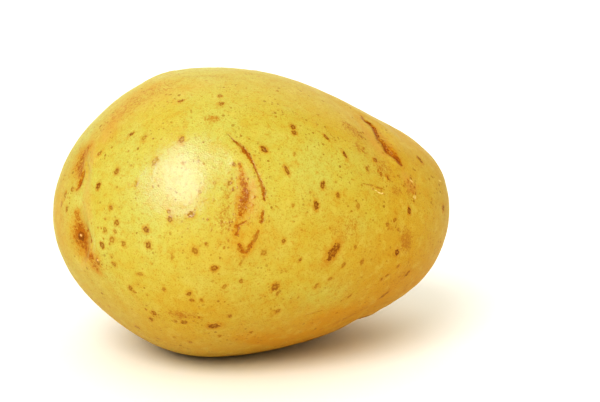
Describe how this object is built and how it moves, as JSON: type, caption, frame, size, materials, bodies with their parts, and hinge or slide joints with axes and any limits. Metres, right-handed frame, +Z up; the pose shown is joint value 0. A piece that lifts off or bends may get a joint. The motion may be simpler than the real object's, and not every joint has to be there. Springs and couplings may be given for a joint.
{
  "type": "potato",
  "caption": "Whole raw potato, a smooth oval tuber with a blunt rose end, a slimmer stem end and shallow eyes, lying on its belly.",
  "frame": {"origin": "on the floor, under the middle of the tuber's box", "axes": "+X along the tuber to its slimmer stem end, so the blunt rose end is at -X; the broad face with the largest eye looks to -Y; +Z up from the flat spot that it rests on"},
  "size_m": [0.0952, 0.0758, 0.068],
  "materials": {
    "skin": "washed yellow potato skin with brown lenticels and russet eyes, softly shining"
  },
  "bodies": {
    "root": {"potato": "skin"}
  },
  "joints": []
}
